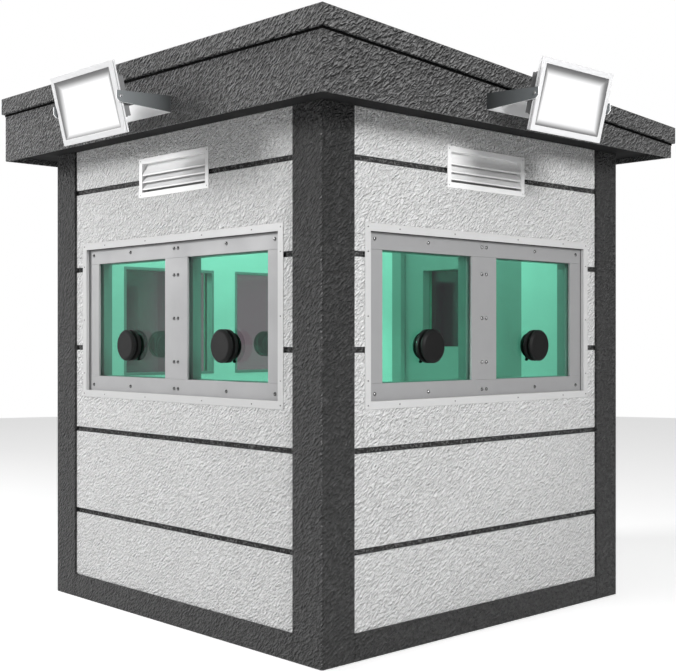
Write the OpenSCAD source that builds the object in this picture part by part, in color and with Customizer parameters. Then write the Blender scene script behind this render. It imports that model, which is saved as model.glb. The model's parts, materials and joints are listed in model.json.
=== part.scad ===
// Security guard booth: a square cabin of insulated wall panels between corner posts,
// with riveted bullet-resistant windows, gun ports, vents, a lean-to roof and floodlights.
// The frame's origin is the middle of the base on the ground. +Z is up and -Y is the front.

/* [Booth] */
// Outside width of the walls, left to right
booth_w = 2000; // [1650:10:2800]
// Outside depth of the walls, front to back
booth_d = 2000; // [1650:10:2800]
// Height of the soffit above the ground
soffit_z = 2207; // [2000:1:2800]
// Thickness of the walls
wall_t = 120; // [100:5:200]
// Width of a corner post on each side
post_w = 176; // [120:1:240]
// Height of the base rail and of the floor
base_h = 110; // [60:5:200]

/* [Cladding] */
// How far the boards lie behind the posts
board_recess = 10; // [4:1:20]
// Thickness of a board
board_t = 10; // [6:1:16]
// Height of the dark seam between two rows of boards
seam_h = 23; // [8:1:40]
// Height of the lowest seam's middle above the ground
low_seam_z = 430; // [250:1:600]
// Height of the middle seam above the ground
mid_seam_z = 1236; // [1000:1:1400]
// Distance from the soffit down to the top seam's middle
top_seam_drop = 205; // [120:1:300]

/* [Windows] */
// Gap between a post and the window trim
window_margin = 64; // [20:1:200]
// Height of the window trim's lower edge
window_z = 995; // [900:1:1100]
// Width of the white trim around a window
trim_w = 33; // [15:1:60]
// How far the trim stands out from the boards
trim_proud = 3; // [1:1:9]
// Depth from the trim's face to the riveted frame's face
frame_depth = 20; // [15:1:40]
// Thickness of the riveted frame
frame_t = 10; // [4:1:12]
// Visible height of the top and bottom rails of the riveted frame
rail_h = 71; // [40:1:120]
// Visible width of the side stiles of the riveted frame
stile_w = 85; // [40:1:120]
// Width of the mullion between the two panes
mullion_w = 172; // [120:1:240]
// Thickness of the bullet-resistant glass
glass_t = 40; // [20:1:50]
// How far the glass is held behind the frame at each edge
glass_bite = 25; // [10:1:35]

/* [Gun ports] */
// Diameter of a gun port's cap
port_d = 144; // [80:1:160]
// How far the cap stands out from the glass
port_out = 46; // [40:1:60]
// Diameter of the sleeve through the glass
port_sleeve_d = 90; // [50:1:110]
// Diameter of a gun port's flange indoors
port_inner_d = 112; // [60:1:160]
// Height of a port's middle above the lower edge of the pane
port_rise = 150; // [90:1:200]

/* [Vents] */
// Width of a vent's frame
vent_w = 530; // [300:5:800]
// Height of a vent's frame
vent_h = 180; // [130:5:300]
// Width of the face of a vent's frame
vent_rim = 24; // [12:1:40]
// Distance from the soffit down to a vent's frame
vent_drop = 97; // [40:1:200]
// Distance from a vent's frame down to the window trim
vent_to_window = 183; // [40:1:400]
// Number of blades in a vent
vent_blades = 3; // [2:1:6]
// Height from one blade's lip to the next
blade_pitch = 33; // [20:1:50]
// Depth of a vent's box behind the boards
vent_box = 30; // [20:1:50]

/* [Roof] */
// How far the fascia stands out from the front and back walls
eaves_out = 179; // [80:1:400]
// How far the fascia stands out from the side walls
verge_out = 199; // [80:1:400]
// How far the roof cap stands out from the fascia
cap_out = 15; // [5:1:50]
// Thickness of the roof cap
cap_t = 80; // [40:5:150]
// Height of the front fascia under the cap
fascia_h = 237; // [200:1:400]
// How much lower the back of the cap is than its front
roof_fall = 166; // [40:1:175]
// Thickness of the fascia boards
fascia_t = 14; // [8:1:30]
// How far the fascia hangs below the soffit
fascia_lip = 25; // [5:1:60]
// Thickness of the ceiling panel
ceiling_t = 30; // [15:1:40]

/* [Floodlights] */
// Width of a floodlight's bracket
yoke_w = 507; // [300:1:700]
// Height of the bracket's back plate
yoke_h = 70; // [50:1:100]
// Thickness of the bracket's strip
yoke_t = 6; // [3:1:10]
// Height of a bracket arm at its tip
arm_tip_h = 45; // [30:1:70]
// Distance from the fascia to the lamp's pivot
pivot_out = 248; // [200:1:320]
// Height of the pivot above the soffit
pivot_up = 61; // [40:1:120]
// Height of a lamp
lamp_h = 295; // [200:1:340]
// Depth of a lamp's front frame
lamp_rim_t = 20; // [16:1:40]
// Depth of the housing behind the front frame
lamp_body_t = 30; // [20:1:60]
// Height of the housing behind the front frame
lamp_body_h = 172; // [120:1:180]
// Width of the face of a lamp's front frame
lamp_rim = 24; // [12:1:40]
// How far the lamp's face lies in front of its pivot
lamp_face_out = 6; // [6:1:12]
// Downward tilt of a lamp at rest, in degrees
lamp_tilt = 14; // [0:1:40]
// Radius of a lamp's pivot pin
lamp_pin_r = 5; // [3:0.5:5]

/* [Door] */
// Width of the door leaf
door_w = 830; // [650:5:900]
// Height of the door leaf
door_h = 1915; // [1750:5:1950]
// Thickness of the door leaf
door_t = 80; // [40:1:85]
// Width of the door frame's face
jamb_w = 50; // [30:1:80]
// Gap at the hinge side, over and under the leaf
door_gap = 5; // [5:1:8]
// Gap at the latch side, which the thick leaf needs as it swings
latch_gap = 10; // [8:1:15]
// How far the door stop stands into the opening
stop_w = 20; // [12:1:30]
// Width of the door's window pane that shows
door_pane_w = 530; // [300:5:600]
// Height of the door's window pane that shows
door_pane_h = 433; // [300:1:600]
// Height of the lower edge of that pane above the ground
door_pane_z = 1234; // [1100:1:1350]
// Radius of a door hinge's knuckle
knuckle_r = 9; // [7:0.5:12]
// Length of each half of a door hinge
knuckle_h = 60; // [40:1:90]
// Number of door hinges
door_hinges = 3; // [2:1:4]

/* [Hidden] */
$fn = 96;

// Running clearances
pin_play = 0.05;
face_play = 0.5;
seat_play = 0.1;
swing_clear = 5;

// Layers of a wall, measured inwards from the face of the posts
board_face = board_recess;
core_face = board_recess + board_t;
trim_face = board_recess - trim_proud;
frame_face = trim_face + frame_depth;
frame_back = frame_face + frame_t;
glass_back = frame_back + glass_t;

// Heights of the seams between the rows of boards
top_seam_z = soffit_z - top_seam_drop;
SEAMS = [low_seam_z, (low_seam_z + mid_seam_z) / 2, mid_seam_z,
         (mid_seam_z + top_seam_z) / 2, top_seam_z];
ROW_Z0 = concat([base_h], [for (z = SEAMS) z + seam_h / 2]);
ROW_Z1 = concat([for (z = SEAMS) z - seam_h / 2], [soffit_z]);

// Window
window_top = soffit_z - vent_drop - vent_h - vent_to_window;
window_h = window_top - window_z;
window_mid_z = window_z + window_h / 2;
trim_lining = 8;
pane_z = window_z + trim_w + rail_h;
pane_h = window_h - 2 * (trim_w + rail_h);
board_clear = 4;

// Gun port
port_z = pane_z + port_rise;
port_disc = 16;
port_groove = 14;
port_neck_d = port_d - 28;
port_bevel = 8;
port_inner_t = 12;
port_play = 0.5;

// Vent
vent_z = soffit_z - vent_drop - vent_h;
vent_proud = 3;
vent_lining = 6;
blade_t = 3;
blade_lip = 6;
blade_front = board_face - vent_proud + 2;
vent_open_z = vent_z + vent_rim;

// Roof
fascia_w = booth_w + 2 * verge_out;
fascia_d = booth_d + 2 * eaves_out;
cap_w = fascia_w + 2 * cap_out;
cap_d = fascia_d + 2 * cap_out;
fascia_z = soffit_z - fascia_lip;
cap_z = fascia_z + fascia_h;
function cap_under(y) = cap_z - roof_fall * (y + fascia_d / 2) / fascia_d;

// Floodlight
pivot_z = soffit_z + pivot_up;
lamp_w = yoke_w - 2 * (yoke_t + swing_clear);
lamp_body_inset = 8;
lens_t = 4;
lens_set = 4;
tray_depth = 16;
pin_head_r = 7;
pin_head_t = 4;
arm_tip_out = 18;
arm_tip_cut = 13;

// Door
leaf_z = base_h + door_gap;
opening_w = door_w + door_gap + latch_gap;
opening_h = door_h + 2 * door_gap;
frame_w = opening_w + 2 * jamb_w;
frame_top = base_h + opening_h + jamb_w;
// The leaf lies off the middle of the opening, because its two gaps differ
leaf_u = (latch_gap - door_gap) / 2;
hinge_u = opening_w / 2 - door_gap / 2;
stop_face = door_t + door_gap;
door_bite = 20;
door_glass_t = 24;
bezel_w = 28;
bezel_t = 6;
pin_r = 5;
leaf_tab = 42;
tab_t = 4;
hinge_inset = 200;
handle_z = 1060;
handle_inset = 70;

// ---- Placing -------------------------------------------------------------------------

// Each side is drawn as the front: x runs along it, +y goes into the booth from the
// face of its posts, and z is up.
module on_front() { translate([0, -booth_d / 2, 0]) children(); }
module on_right() { rotate([0, 0, 90]) translate([0, -booth_w / 2, 0]) children(); }
module on_left() { rotate([0, 0, -90]) translate([0, -booth_w / 2, 0]) children(); }
module on_back() { rotate([0, 0, 180]) translate([0, -booth_d / 2, 0]) children(); }

// A block centred on x, from y0 to y1 and from z0 to z1
module block(w, y0, y1, z0, z1) {
    translate([-w / 2, y0, z0]) cube([w, y1 - y0, z1 - z0]);
}

// A flat ring: the block with a smaller opening through it
module ring(w, h, rim, y0, y1, z0) {
    difference() {
        block(w, y0, y1, z0, z0 + h);
        block(w - 2 * rim, y0 - 1, y1 + 1, z0 + rim, z0 + h - rim);
    }
}

// A profile drawn in y and z, extruded along x about the middle
module profile(w, points) {
    translate([-w / 2, 0, 0]) rotate([90, 0, 90]) linear_extrude(w) polygon(points);
}

// A cylinder along y, from y0 to y1
module round_y(d, y0, y1) {
    translate([0, y1, 0]) rotate([90, 0, 0]) cylinder(h = y1 - y0, d = d);
}

// A cylinder along x, from x0 to x1
module round_x(r, x0, x1) {
    translate([x0, 0, 0]) rotate([0, 90, 0]) cylinder(h = x1 - x0, r = r);
}

// ---- Sizes of a side of length len -----------------------------------------------------

function window_w(len) = len - 2 * (post_w + window_margin);
function pane_w(len) = window_w(len) / 2 - trim_w - stile_w - mullion_w / 2;
function pane_u(len) = (mullion_w + pane_w(len)) / 2;

// ---- Base and posts --------------------------------------------------------------------

module floor_panel() {
    color("gainsboro")
        block(booth_w - 2 * wall_t, wall_t - booth_d / 2, booth_d / 2 - wall_t, 0, base_h);
}

module base_rails() {
    color([0.2, 0.2, 0.21]) {
        on_front() block(booth_w - 2 * post_w, 0, wall_t, 0, base_h);
        on_back() block(booth_w - 2 * post_w, 0, wall_t, 0, base_h);
        on_right() block(booth_d - 2 * post_w, 0, wall_t, 0, base_h);
        on_left() block(booth_d - 2 * post_w, 0, wall_t, 0, base_h);
    }
}

// An L-shaped post, as thick as the wall, that wraps the corner
module corner_post() {
    linear_extrude(soffit_z)
        polygon([[0, 0], [post_w, 0], [post_w, wall_t], [wall_t, wall_t],
                 [wall_t, post_w], [0, post_w]]);
}

module corner_posts() {
    color([0.2, 0.2, 0.21])
        for (mx = [0, 1], my = [0, 1])
            mirror([mx, 0, 0]) mirror([0, my, 0])
                translate([-booth_w / 2, -booth_d / 2, 0]) corner_post();
}

// ---- Walls -----------------------------------------------------------------------------

// Pocket for the trim's lining and the riveted frame, then a glazing pocket and an
// inner opening for each pane, and the vent's box over them
module window_wall(len) {
    difference() {
        block(len - 2 * post_w, core_face, wall_t, base_h, soffit_z);
        block(window_w(len) - 2 * (trim_w - trim_lining), core_face - 1, frame_back,
              window_z + trim_w - trim_lining, window_top - trim_w + trim_lining);
        for (side = [-1, 1]) translate([side * pane_u(len), 0, 0]) {
            block(pane_w(len) + 2 * glass_bite, frame_back - 1, glass_back,
                  pane_z - glass_bite, pane_z + pane_h + glass_bite);
            block(pane_w(len), glass_back - 1, wall_t + 1, pane_z, pane_z + pane_h);
        }
        block(vent_w - 2 * (vent_rim - vent_lining), core_face - 1, board_face + vent_box,
              vent_open_z - vent_lining, vent_open_z + vent_h - 2 * vent_rim + vent_lining);
    }
}

module front_wall() { color("gainsboro") on_front() window_wall(booth_w); }
module right_wall() { color("gainsboro") on_right() window_wall(booth_d); }
module left_wall() { color("gainsboro") on_left() window_wall(booth_d); }

module back_wall_sides() {
    side_w = (booth_w - 2 * post_w - frame_w) / 2;
    color("gainsboro") on_back()
        for (side = [-1, 1]) translate([side * (frame_w + side_w) / 2, 0, 0])
            block(side_w, core_face, wall_t, base_h, soffit_z);
}

module back_wall_head() {
    color("gainsboro") on_back() block(frame_w, core_face, wall_t, frame_top, soffit_z);
}

// ---- Cladding --------------------------------------------------------------------------

module board_rows(w) {
    for (i = [0 : len(ROW_Z0) - 1])
        block(w, board_face, core_face, ROW_Z0[i], ROW_Z1[i]);
}

module window_cladding(len) {
    difference() {
        board_rows(len - 2 * post_w);
        block(window_w(len) - 2 * (trim_w - trim_lining - board_clear), 0, wall_t,
              window_z + trim_w - trim_lining - board_clear,
              window_top - trim_w + trim_lining + board_clear);
        block(vent_w - 2 * (vent_rim - vent_lining), 0, wall_t,
              vent_open_z - vent_lining, vent_open_z + vent_h - 2 * vent_rim + vent_lining);
    }
}

module front_cladding() { color("lightgray") on_front() window_cladding(booth_w); }
module right_cladding() { color("lightgray") on_right() window_cladding(booth_d); }
module left_cladding() { color("lightgray") on_left() window_cladding(booth_d); }

module back_cladding() {
    color("lightgray") on_back() difference() {
        board_rows(booth_w - 2 * post_w);
        block(frame_w, 0, wall_t, 0, frame_top);
    }
}

// ---- Windows ---------------------------------------------------------------------------

// A flange that overlaps the boards, with a lining that reaches in to the riveted frame
module window_trim(len) {
    color("white") {
        ring(window_w(len), window_h, trim_w, trim_face, board_face, window_z);
        ring(window_w(len) - 2 * (trim_w - trim_lining),
             window_h - 2 * (trim_w - trim_lining), trim_lining,
             board_face, frame_face, window_z + trim_w - trim_lining);
    }
}

module window_frame(len) {
    edge = trim_w - trim_lining;
    color([0.78, 0.79, 0.8]) difference() {
        block(window_w(len) - 2 * edge, frame_face, frame_back,
              window_z + edge, window_top - edge);
        for (side = [-1, 1]) translate([side * pane_u(len), 0, 0])
            block(pane_w(len), frame_face - 1, frame_back + 1, pane_z, pane_z + pane_h);
    }
}

module window_glass(len) {
    color([0.3, 0.75, 0.6, 0.5])
        for (side = [-1, 1]) translate([side * pane_u(len), 0, 0]) difference() {
            block(pane_w(len) + 2 * glass_bite, frame_back, glass_back,
                  pane_z - glass_bite, pane_z + pane_h + glass_bite);
            translate([0, 0, port_z])
                round_y(port_sleeve_d + 2 * port_play, frame_back - 1, glass_back + 1);
        }
}

// A rear ring against the glass, a neck and a bevelled front disc, with a sleeve through
// the pane and a flange on its inner face
module gun_port() {
    tip = frame_back - port_out;
    disc_back = tip + port_disc;
    ring_front = disc_back + port_groove;
    rotate([90, 0, 0]) rotate_extrude()
        polygon([[0, -tip], [port_d / 2 - port_bevel, -tip],
                 [port_d / 2, -tip - port_bevel], [port_d / 2, -disc_back],
                 [port_neck_d / 2, -disc_back], [port_neck_d / 2, -ring_front],
                 [port_d / 2, -ring_front], [port_d / 2, -frame_back],
                 [port_sleeve_d / 2, -frame_back], [port_sleeve_d / 2, -glass_back],
                 [port_inner_d / 2, -glass_back],
                 [port_inner_d / 2, -glass_back - port_inner_t],
                 [0, -glass_back - port_inner_t]]);
}

module gun_ports(len) {
    color([0.08, 0.08, 0.08])
        for (side = [-1, 1]) translate([side * pane_u(len), 0, port_z]) gun_port();
}

module front_window_trim() { on_front() window_trim(booth_w); }
module right_window_trim() { on_right() window_trim(booth_d); }
module left_window_trim() { on_left() window_trim(booth_d); }
module front_window_frame() { on_front() window_frame(booth_w); }
module right_window_frame() { on_right() window_frame(booth_d); }
module left_window_frame() { on_left() window_frame(booth_d); }
module front_window_glass() { on_front() window_glass(booth_w); }
module right_window_glass() { on_right() window_glass(booth_d); }
module left_window_glass() { on_left() window_glass(booth_d); }
module front_gun_ports() { on_front() gun_ports(booth_w); }
module right_gun_ports() { on_right() gun_ports(booth_d); }
module left_gun_ports() { on_left() gun_ports(booth_d); }

// ---- Vents -----------------------------------------------------------------------------

// A blade that slopes up and back from its front lip, which hangs down. It rises far
// enough to hide what is behind it from below the next lip.
module vent_blade(lip_z, rise) {
    run = board_face + vent_box - blade_front - 2 * blade_t;
    profile(vent_w - 2 * vent_rim + vent_lining,
            [[blade_front, lip_z - blade_lip], [blade_front + blade_t, lip_z - blade_lip],
             [blade_front + blade_t, lip_z - blade_t / 2],
             [blade_front + run, lip_z + rise - 1.5 * blade_t],
             [blade_front + run, lip_z + rise], [blade_front, lip_z]]);
}

module vent() {
    open_h = vent_h - 2 * vent_rim;
    color("whitesmoke") {
        ring(vent_w, vent_h, vent_rim, board_face - vent_proud, board_face, vent_z);
        ring(vent_w - 2 * (vent_rim - vent_lining), open_h + 2 * vent_lining, vent_lining,
             board_face, board_face + vent_box, vent_open_z - vent_lining);
        intersection() {
            block(vent_w - 2 * vent_rim + vent_lining, 0, board_face + vent_box,
                  vent_open_z - vent_lining / 2, vent_open_z + open_h + vent_lining / 2);
            for (i = [0 : vent_blades - 1])
                vent_blade(vent_open_z + blade_pitch / 2 + i * blade_pitch,
                           i < vent_blades - 1 ? blade_pitch + 1
                               : open_h - (i + 0.5) * blade_pitch + vent_lining / 4);
        }
    }
}

module front_vent() { on_front() vent(); }
module right_vent() { on_right() vent(); }
module left_vent() { on_left() vent(); }

// ---- Door ------------------------------------------------------------------------------

module door_frame() {
    color("white") on_back() {
        difference() {
            block(frame_w, 0, wall_t, base_h, frame_top);
            block(opening_w, -1, stop_face, base_h - 1, base_h + opening_h);
            block(opening_w - 2 * stop_w, -1, wall_t + 1,
                  base_h - 1, base_h + opening_h - stop_w);
        }
    }
}

module door_leaf() {
    color("gainsboro") on_back() translate([leaf_u, 0, 0]) difference() {
        block(door_w, 0, door_t, leaf_z, leaf_z + door_h);
        translate([-leaf_u, 0, 0]) {
            block(door_pane_w, -1, door_t + 1, door_pane_z, door_pane_z + door_pane_h);
            block(door_pane_w + 2 * door_bite, -1, door_glass_t,
                  door_pane_z - door_bite, door_pane_z + door_pane_h + door_bite);
        }
    }
}

module door_glass() {
    color([0.3, 0.75, 0.6, 0.5]) on_back()
        block(door_pane_w + 2 * door_bite, 0, door_glass_t,
              door_pane_z - door_bite, door_pane_z + door_pane_h + door_bite);
}

module door_window_bezel() {
    color("white") on_back()
        ring(door_pane_w + 2 * bezel_w, door_pane_h + 2 * bezel_w, bezel_w,
             -bezel_t, 0, door_pane_z - bezel_w);
}

// A lever on a plate, outside
module door_handle() {
    plate_w = 44;
    plate_h = 230;
    plate_t = 8;
    lever_out = 52;
    lever_l = 125;
    lever_r = 10;
    handle_u = leaf_u - door_w / 2 + handle_inset;
    color("silver") on_back() translate([handle_u, 0, handle_z]) {
        block(plate_w, -plate_t, 0, -plate_h / 2, plate_h / 2);
        round_y(2 * lever_r, -lever_out - lever_r, -plate_t);
        translate([0, -lever_out, 0]) round_x(lever_r, 0, lever_l);
    }
}

function hinge_z(i) = leaf_z + hinge_inset
    + i * (door_h - 2 * hinge_inset) / (door_hinges - 1);

// The lower halves on the frame, each with the pin that the leaf lifts onto
module door_hinge_pins() {
    color("silver") on_back()
        for (i = [0 : door_hinges - 1]) translate([hinge_u, -knuckle_r, hinge_z(i)]) {
            translate([0, 0, -knuckle_h]) cylinder(h = knuckle_h, r = knuckle_r);
            cylinder(h = knuckle_h - 1, r = pin_r);
            translate([0, knuckle_r - tab_t, -knuckle_h])
                cube([leaf_tab, tab_t, knuckle_h]);
        }
}

// The upper halves on the leaf
module door_hinge_knuckles() {
    color("silver") on_back()
        for (i = [0 : door_hinges - 1]) translate([hinge_u, -knuckle_r, hinge_z(i)])
            translate([0, 0, face_play]) difference() {
                union() {
                    cylinder(h = knuckle_h, r = knuckle_r);
                    translate([-leaf_tab, knuckle_r - tab_t, 0])
                        cube([leaf_tab, tab_t, knuckle_h]);
                }
                translate([0, 0, -1]) cylinder(h = knuckle_h, r = pin_r + pin_play);
            }
}

// ---- Roof ------------------------------------------------------------------------------

module ceiling_panel() {
    color([0.2, 0.2, 0.21])
        block(fascia_w - 2 * fascia_t, fascia_t - fascia_d / 2, fascia_d / 2 - fascia_t,
              soffit_z, soffit_z + ceiling_t);
}

// Four boards in a ring, whose tops follow the fall of the roof
module roof_fascia() {
    half = fascia_d / 2;
    color([0.33, 0.33, 0.34]) difference() {
        profile(fascia_w, [[-half, fascia_z], [half, fascia_z],
                           [half, cap_under(half)], [-half, cap_under(-half)]]);
        block(fascia_w - 2 * fascia_t, fascia_t - half, half - fascia_t,
              fascia_z - 1, cap_z + 1);
    }
}

module roof_cap() {
    half = cap_d / 2;
    color([0.33, 0.33, 0.34]) translate([0, 0, seat_play])
        profile(cap_w, [[-half, cap_under(-half)], [half, cap_under(half)],
                        [half, cap_under(half) + cap_t], [-half, cap_under(-half) + cap_t]]);
}

// ---- Floodlights -----------------------------------------------------------------------

// The bracket's strip is bent into a U: a back plate on the fascia and two tapered arms,
// each cut off at the lower corner of its tip
module lamp_bracket() {
    tip = -pivot_out - arm_tip_out;
    tip_top = arm_tip_h / 2;
    color([0.75, 0.76, 0.78]) translate([0, 0, pivot_z]) difference() {
        union() {
            block(yoke_w, -yoke_t, 0, -yoke_h / 2, yoke_h / 2);
            for (side = [-1, 1]) translate([side * (yoke_w - yoke_t) / 2, 0, 0])
                profile(yoke_t, [[0, -yoke_h / 2], [0, yoke_h / 2], [tip, tip_top],
                                 [tip, arm_tip_cut - tip_top],
                                 [tip + arm_tip_cut, -tip_top]]);
        }
        translate([0, -pivot_out, 0])
            round_x(lamp_pin_r + pin_play, -yoke_w / 2 - 1, yoke_w / 2 + 1);
    }
}

// Places a lamp drawn about its pivot, facing -y, at its tilt
module at_lamp() {
    translate([0, -pivot_out, pivot_z]) rotate([lamp_tilt, 0, 0]) children();
}

module lamp_housing() {
    body_w = lamp_w - 2 * lamp_body_inset;
    rim_back = lamp_rim_t - lamp_face_out;
    color([0.88, 0.89, 0.9]) at_lamp() {
        difference() {
            union() {
                block(lamp_w, -lamp_face_out, rim_back, -lamp_h / 2, lamp_h / 2);
                block(body_w, rim_back, rim_back + lamp_body_t,
                      -lamp_body_h / 2, lamp_body_h / 2);
            }
            block(lamp_w - 2 * lamp_rim, -lamp_face_out - 1, tray_depth - lamp_face_out,
                  lamp_rim - lamp_h / 2, lamp_h / 2 - lamp_rim);
        }
        for (side = [0, 1]) mirror([side, 0, 0]) {
            round_x(lamp_pin_r, lamp_w / 2 - 1, yoke_w / 2 + face_play);
            round_x(pin_head_r, yoke_w / 2 + face_play, yoke_w / 2 + face_play + pin_head_t);
        }
    }
}

module lamp_lens() {
    color([1, 1, 1]) at_lamp()
        block(lamp_w - 2 * lamp_rim, lens_set - lamp_face_out,
              lens_set + lens_t - lamp_face_out,
              lamp_rim - lamp_h / 2, lamp_h / 2 - lamp_rim);
}

// The face of the fascia over each of the three windows
module at_front_fascia() { on_front() translate([0, -eaves_out, 0]) children(); }
module at_right_fascia() { on_right() translate([0, -verge_out, 0]) children(); }
module at_left_fascia() { on_left() translate([0, -verge_out, 0]) children(); }

module front_lamp_bracket() { at_front_fascia() lamp_bracket(); }
module front_lamp_housing() { at_front_fascia() lamp_housing(); }
module front_lamp_lens() { at_front_fascia() lamp_lens(); }
module right_lamp_bracket() { at_right_fascia() lamp_bracket(); }
module right_lamp_housing() { at_right_fascia() lamp_housing(); }
module right_lamp_lens() { at_right_fascia() lamp_lens(); }
module left_lamp_bracket() { at_left_fascia() lamp_bracket(); }
module left_lamp_housing() { at_left_fascia() lamp_housing(); }
module left_lamp_lens() { at_left_fascia() lamp_lens(); }

// ---- Nodes -----------------------------------------------------------------------------

floor_panel();
base_rails();
corner_posts();
front_wall();
right_wall();
left_wall();
back_wall_sides();
back_wall_head();
front_cladding();
right_cladding();
left_cladding();
back_cladding();
front_window_trim();
right_window_trim();
left_window_trim();
front_window_frame();
right_window_frame();
left_window_frame();
front_window_glass();
right_window_glass();
left_window_glass();
front_gun_ports();
right_gun_ports();
left_gun_ports();
front_vent();
right_vent();
left_vent();
door_frame();
door_leaf();
door_window_bezel();
door_glass();
door_handle();
door_hinge_pins();
door_hinge_knuckles();
ceiling_panel();
roof_fascia();
roof_cap();
front_lamp_bracket();
front_lamp_housing();
front_lamp_lens();
right_lamp_bracket();
right_lamp_housing();
right_lamp_lens();
left_lamp_bracket();
left_lamp_housing();
left_lamp_lens();
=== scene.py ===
# %% [markdown]
# # A security guard booth
# The real booth is a steel-framed cabin, two metres square. Dark posts stand at its corners,
# pale rendered boards fill the sides, and riveted plates hold thick green glass on three of
# them. The CAD frame already gives every size and place, so this script only adds what the
# eye expects: softened edges, rivets, screws, coatings, light and a camera. The frame is
# loaded first, because every later step measures itself against it.

# %% The frame and the Blender tools
import json
import math

import bmesh
import bpy
from mathutils import Matrix, Vector


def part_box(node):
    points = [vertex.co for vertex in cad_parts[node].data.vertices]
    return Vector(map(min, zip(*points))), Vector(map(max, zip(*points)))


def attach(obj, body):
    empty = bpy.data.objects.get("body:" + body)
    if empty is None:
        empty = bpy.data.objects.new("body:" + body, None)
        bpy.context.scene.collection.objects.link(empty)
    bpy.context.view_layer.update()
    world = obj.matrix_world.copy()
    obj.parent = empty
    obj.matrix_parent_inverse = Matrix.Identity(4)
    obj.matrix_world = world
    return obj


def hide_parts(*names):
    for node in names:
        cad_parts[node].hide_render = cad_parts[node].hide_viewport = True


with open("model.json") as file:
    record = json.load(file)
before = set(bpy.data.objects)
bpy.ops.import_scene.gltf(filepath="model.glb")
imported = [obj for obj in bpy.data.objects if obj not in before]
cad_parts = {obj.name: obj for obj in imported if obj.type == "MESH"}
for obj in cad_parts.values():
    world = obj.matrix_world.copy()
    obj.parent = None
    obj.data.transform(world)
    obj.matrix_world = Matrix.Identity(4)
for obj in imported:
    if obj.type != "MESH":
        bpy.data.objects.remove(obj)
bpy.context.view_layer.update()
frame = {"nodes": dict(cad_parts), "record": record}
cad_nodes = frame["nodes"]

# %% [markdown]
# ## Places
# Every side is drawn as if it were the front: x runs along it, y goes into the booth from
# the face of its posts, and z is up. Each side could be modelled where it stands, but one
# matrix can turn a finished drawing to its side, so a window is designed once and placed
# three times.

# %% Sizes read from the frame, and the matrix of each side
SIDE_TURN = {"front": 0, "right": 90, "back": 180, "left": 270}
WINDOW_SIDES = ("front", "right", "left")

half_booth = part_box("corner_posts")[1].x
soffit_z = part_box("corner_posts")[1].z


def side_matrix(side):
    """Turns a drawing of the front to that side of the booth."""
    turn = Matrix.Rotation(math.radians(SIDE_TURN[side]), 4, "Z")
    return turn @ Matrix.Translation((0, -half_booth, 0))


def depth_of(node):
    """Front and back of a node of the front side, as depths behind the posts' face."""
    low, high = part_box(node)
    return low.y + half_booth, high.y + half_booth


print(f"booth {2 * half_booth:.3f} m wide, soffit at {soffit_z:.3f} m")

# %% [markdown]
# ## Making pieces
# A sheet-metal edge is never razor sharp: it has a radius that catches the light. Most of
# the booth's parts already have the right form in the CAD model, so a merged copy gets its
# flat faces joined, its edges bevelled, and stands in for the CAD part.

# %% Helpers that make a piece, and soften the edges of a copied part
SHARP_ANGLE = math.radians(25)
FLAT_ANGLE = math.radians(0.5)


def new_piece(name, bm, materials, body="booth", stands_for=(), smooth=False):
    """Makes an object from a bmesh, and hangs it on its body."""
    bmesh.ops.recalc_face_normals(bm, faces=bm.faces)
    mesh = bpy.data.meshes.new(name)
    bm.to_mesh(mesh)
    bm.free()
    for material in materials:
        mesh.materials.append(material)
    if smooth:
        mesh.shade_smooth()
        mesh.set_sharp_from_angle(angle=SHARP_ANGLE)
    piece = bpy.data.objects.new(name, mesh)
    bpy.context.scene.collection.objects.link(piece)
    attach(piece, body)
    if stands_for:
        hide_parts(*stands_for)
    return piece


def sharp_edges(edges):
    return [e for e in edges if len(e.link_faces) == 2 and e.calc_face_angle(0) > SHARP_ANGLE]


def bevel_edges(bm, edges, width, segments=2):
    bmesh.ops.bevel(bm, geom=sharp_edges(edges), offset=width, offset_type="OFFSET",
                    segments=segments, profile=0.5, affect="EDGES", clamp_overlap=True,
                    material=-1)


def copied_part(node):
    """A merged copy of a CAD part, with its flat faces in one piece each."""
    bm = bmesh.new()
    bm.from_mesh(cad_nodes[node].data)
    bmesh.ops.remove_doubles(bm, verts=bm.verts, dist=1e-5)
    bmesh.ops.dissolve_limit(bm, angle_limit=FLAT_ANGLE, verts=bm.verts, edges=bm.edges)
    return bm


def softened_part(node, width):
    bm = copied_part(node)
    bevel_edges(bm, bm.edges, width)
    return bm


print("edges count as sharp from", round(math.degrees(SHARP_ANGLE)), "degrees")

# %% [markdown]
# What the CAD model lacks is drawn afresh, from four shapes that come back all over the
# booth: a block, an upright ring, a turned part and a domed screw. Each could be modelled by
# hand in the viewport. A few operators do the same from the sizes alone, and they can be run
# again for the next side.

# %% Helpers for blocks and rings
def add_block(bm, low, high, bevel=0.0, segments=2, material=0):
    """A block between two corners, with bevelled edges."""
    low, high = Vector(low), Vector(high)
    place = Matrix.Translation((low + high) / 2) @ Matrix.Diagonal((*(high - low), 1))
    verts = bmesh.ops.create_cube(bm, size=1.0, matrix=place)["verts"]
    faces = {f for v in verts for f in v.link_faces}
    for face in faces:
        face.material_index = material
    if bevel:
        bevel_edges(bm, {e for v in verts for e in v.link_edges}, bevel, segments)


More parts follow.
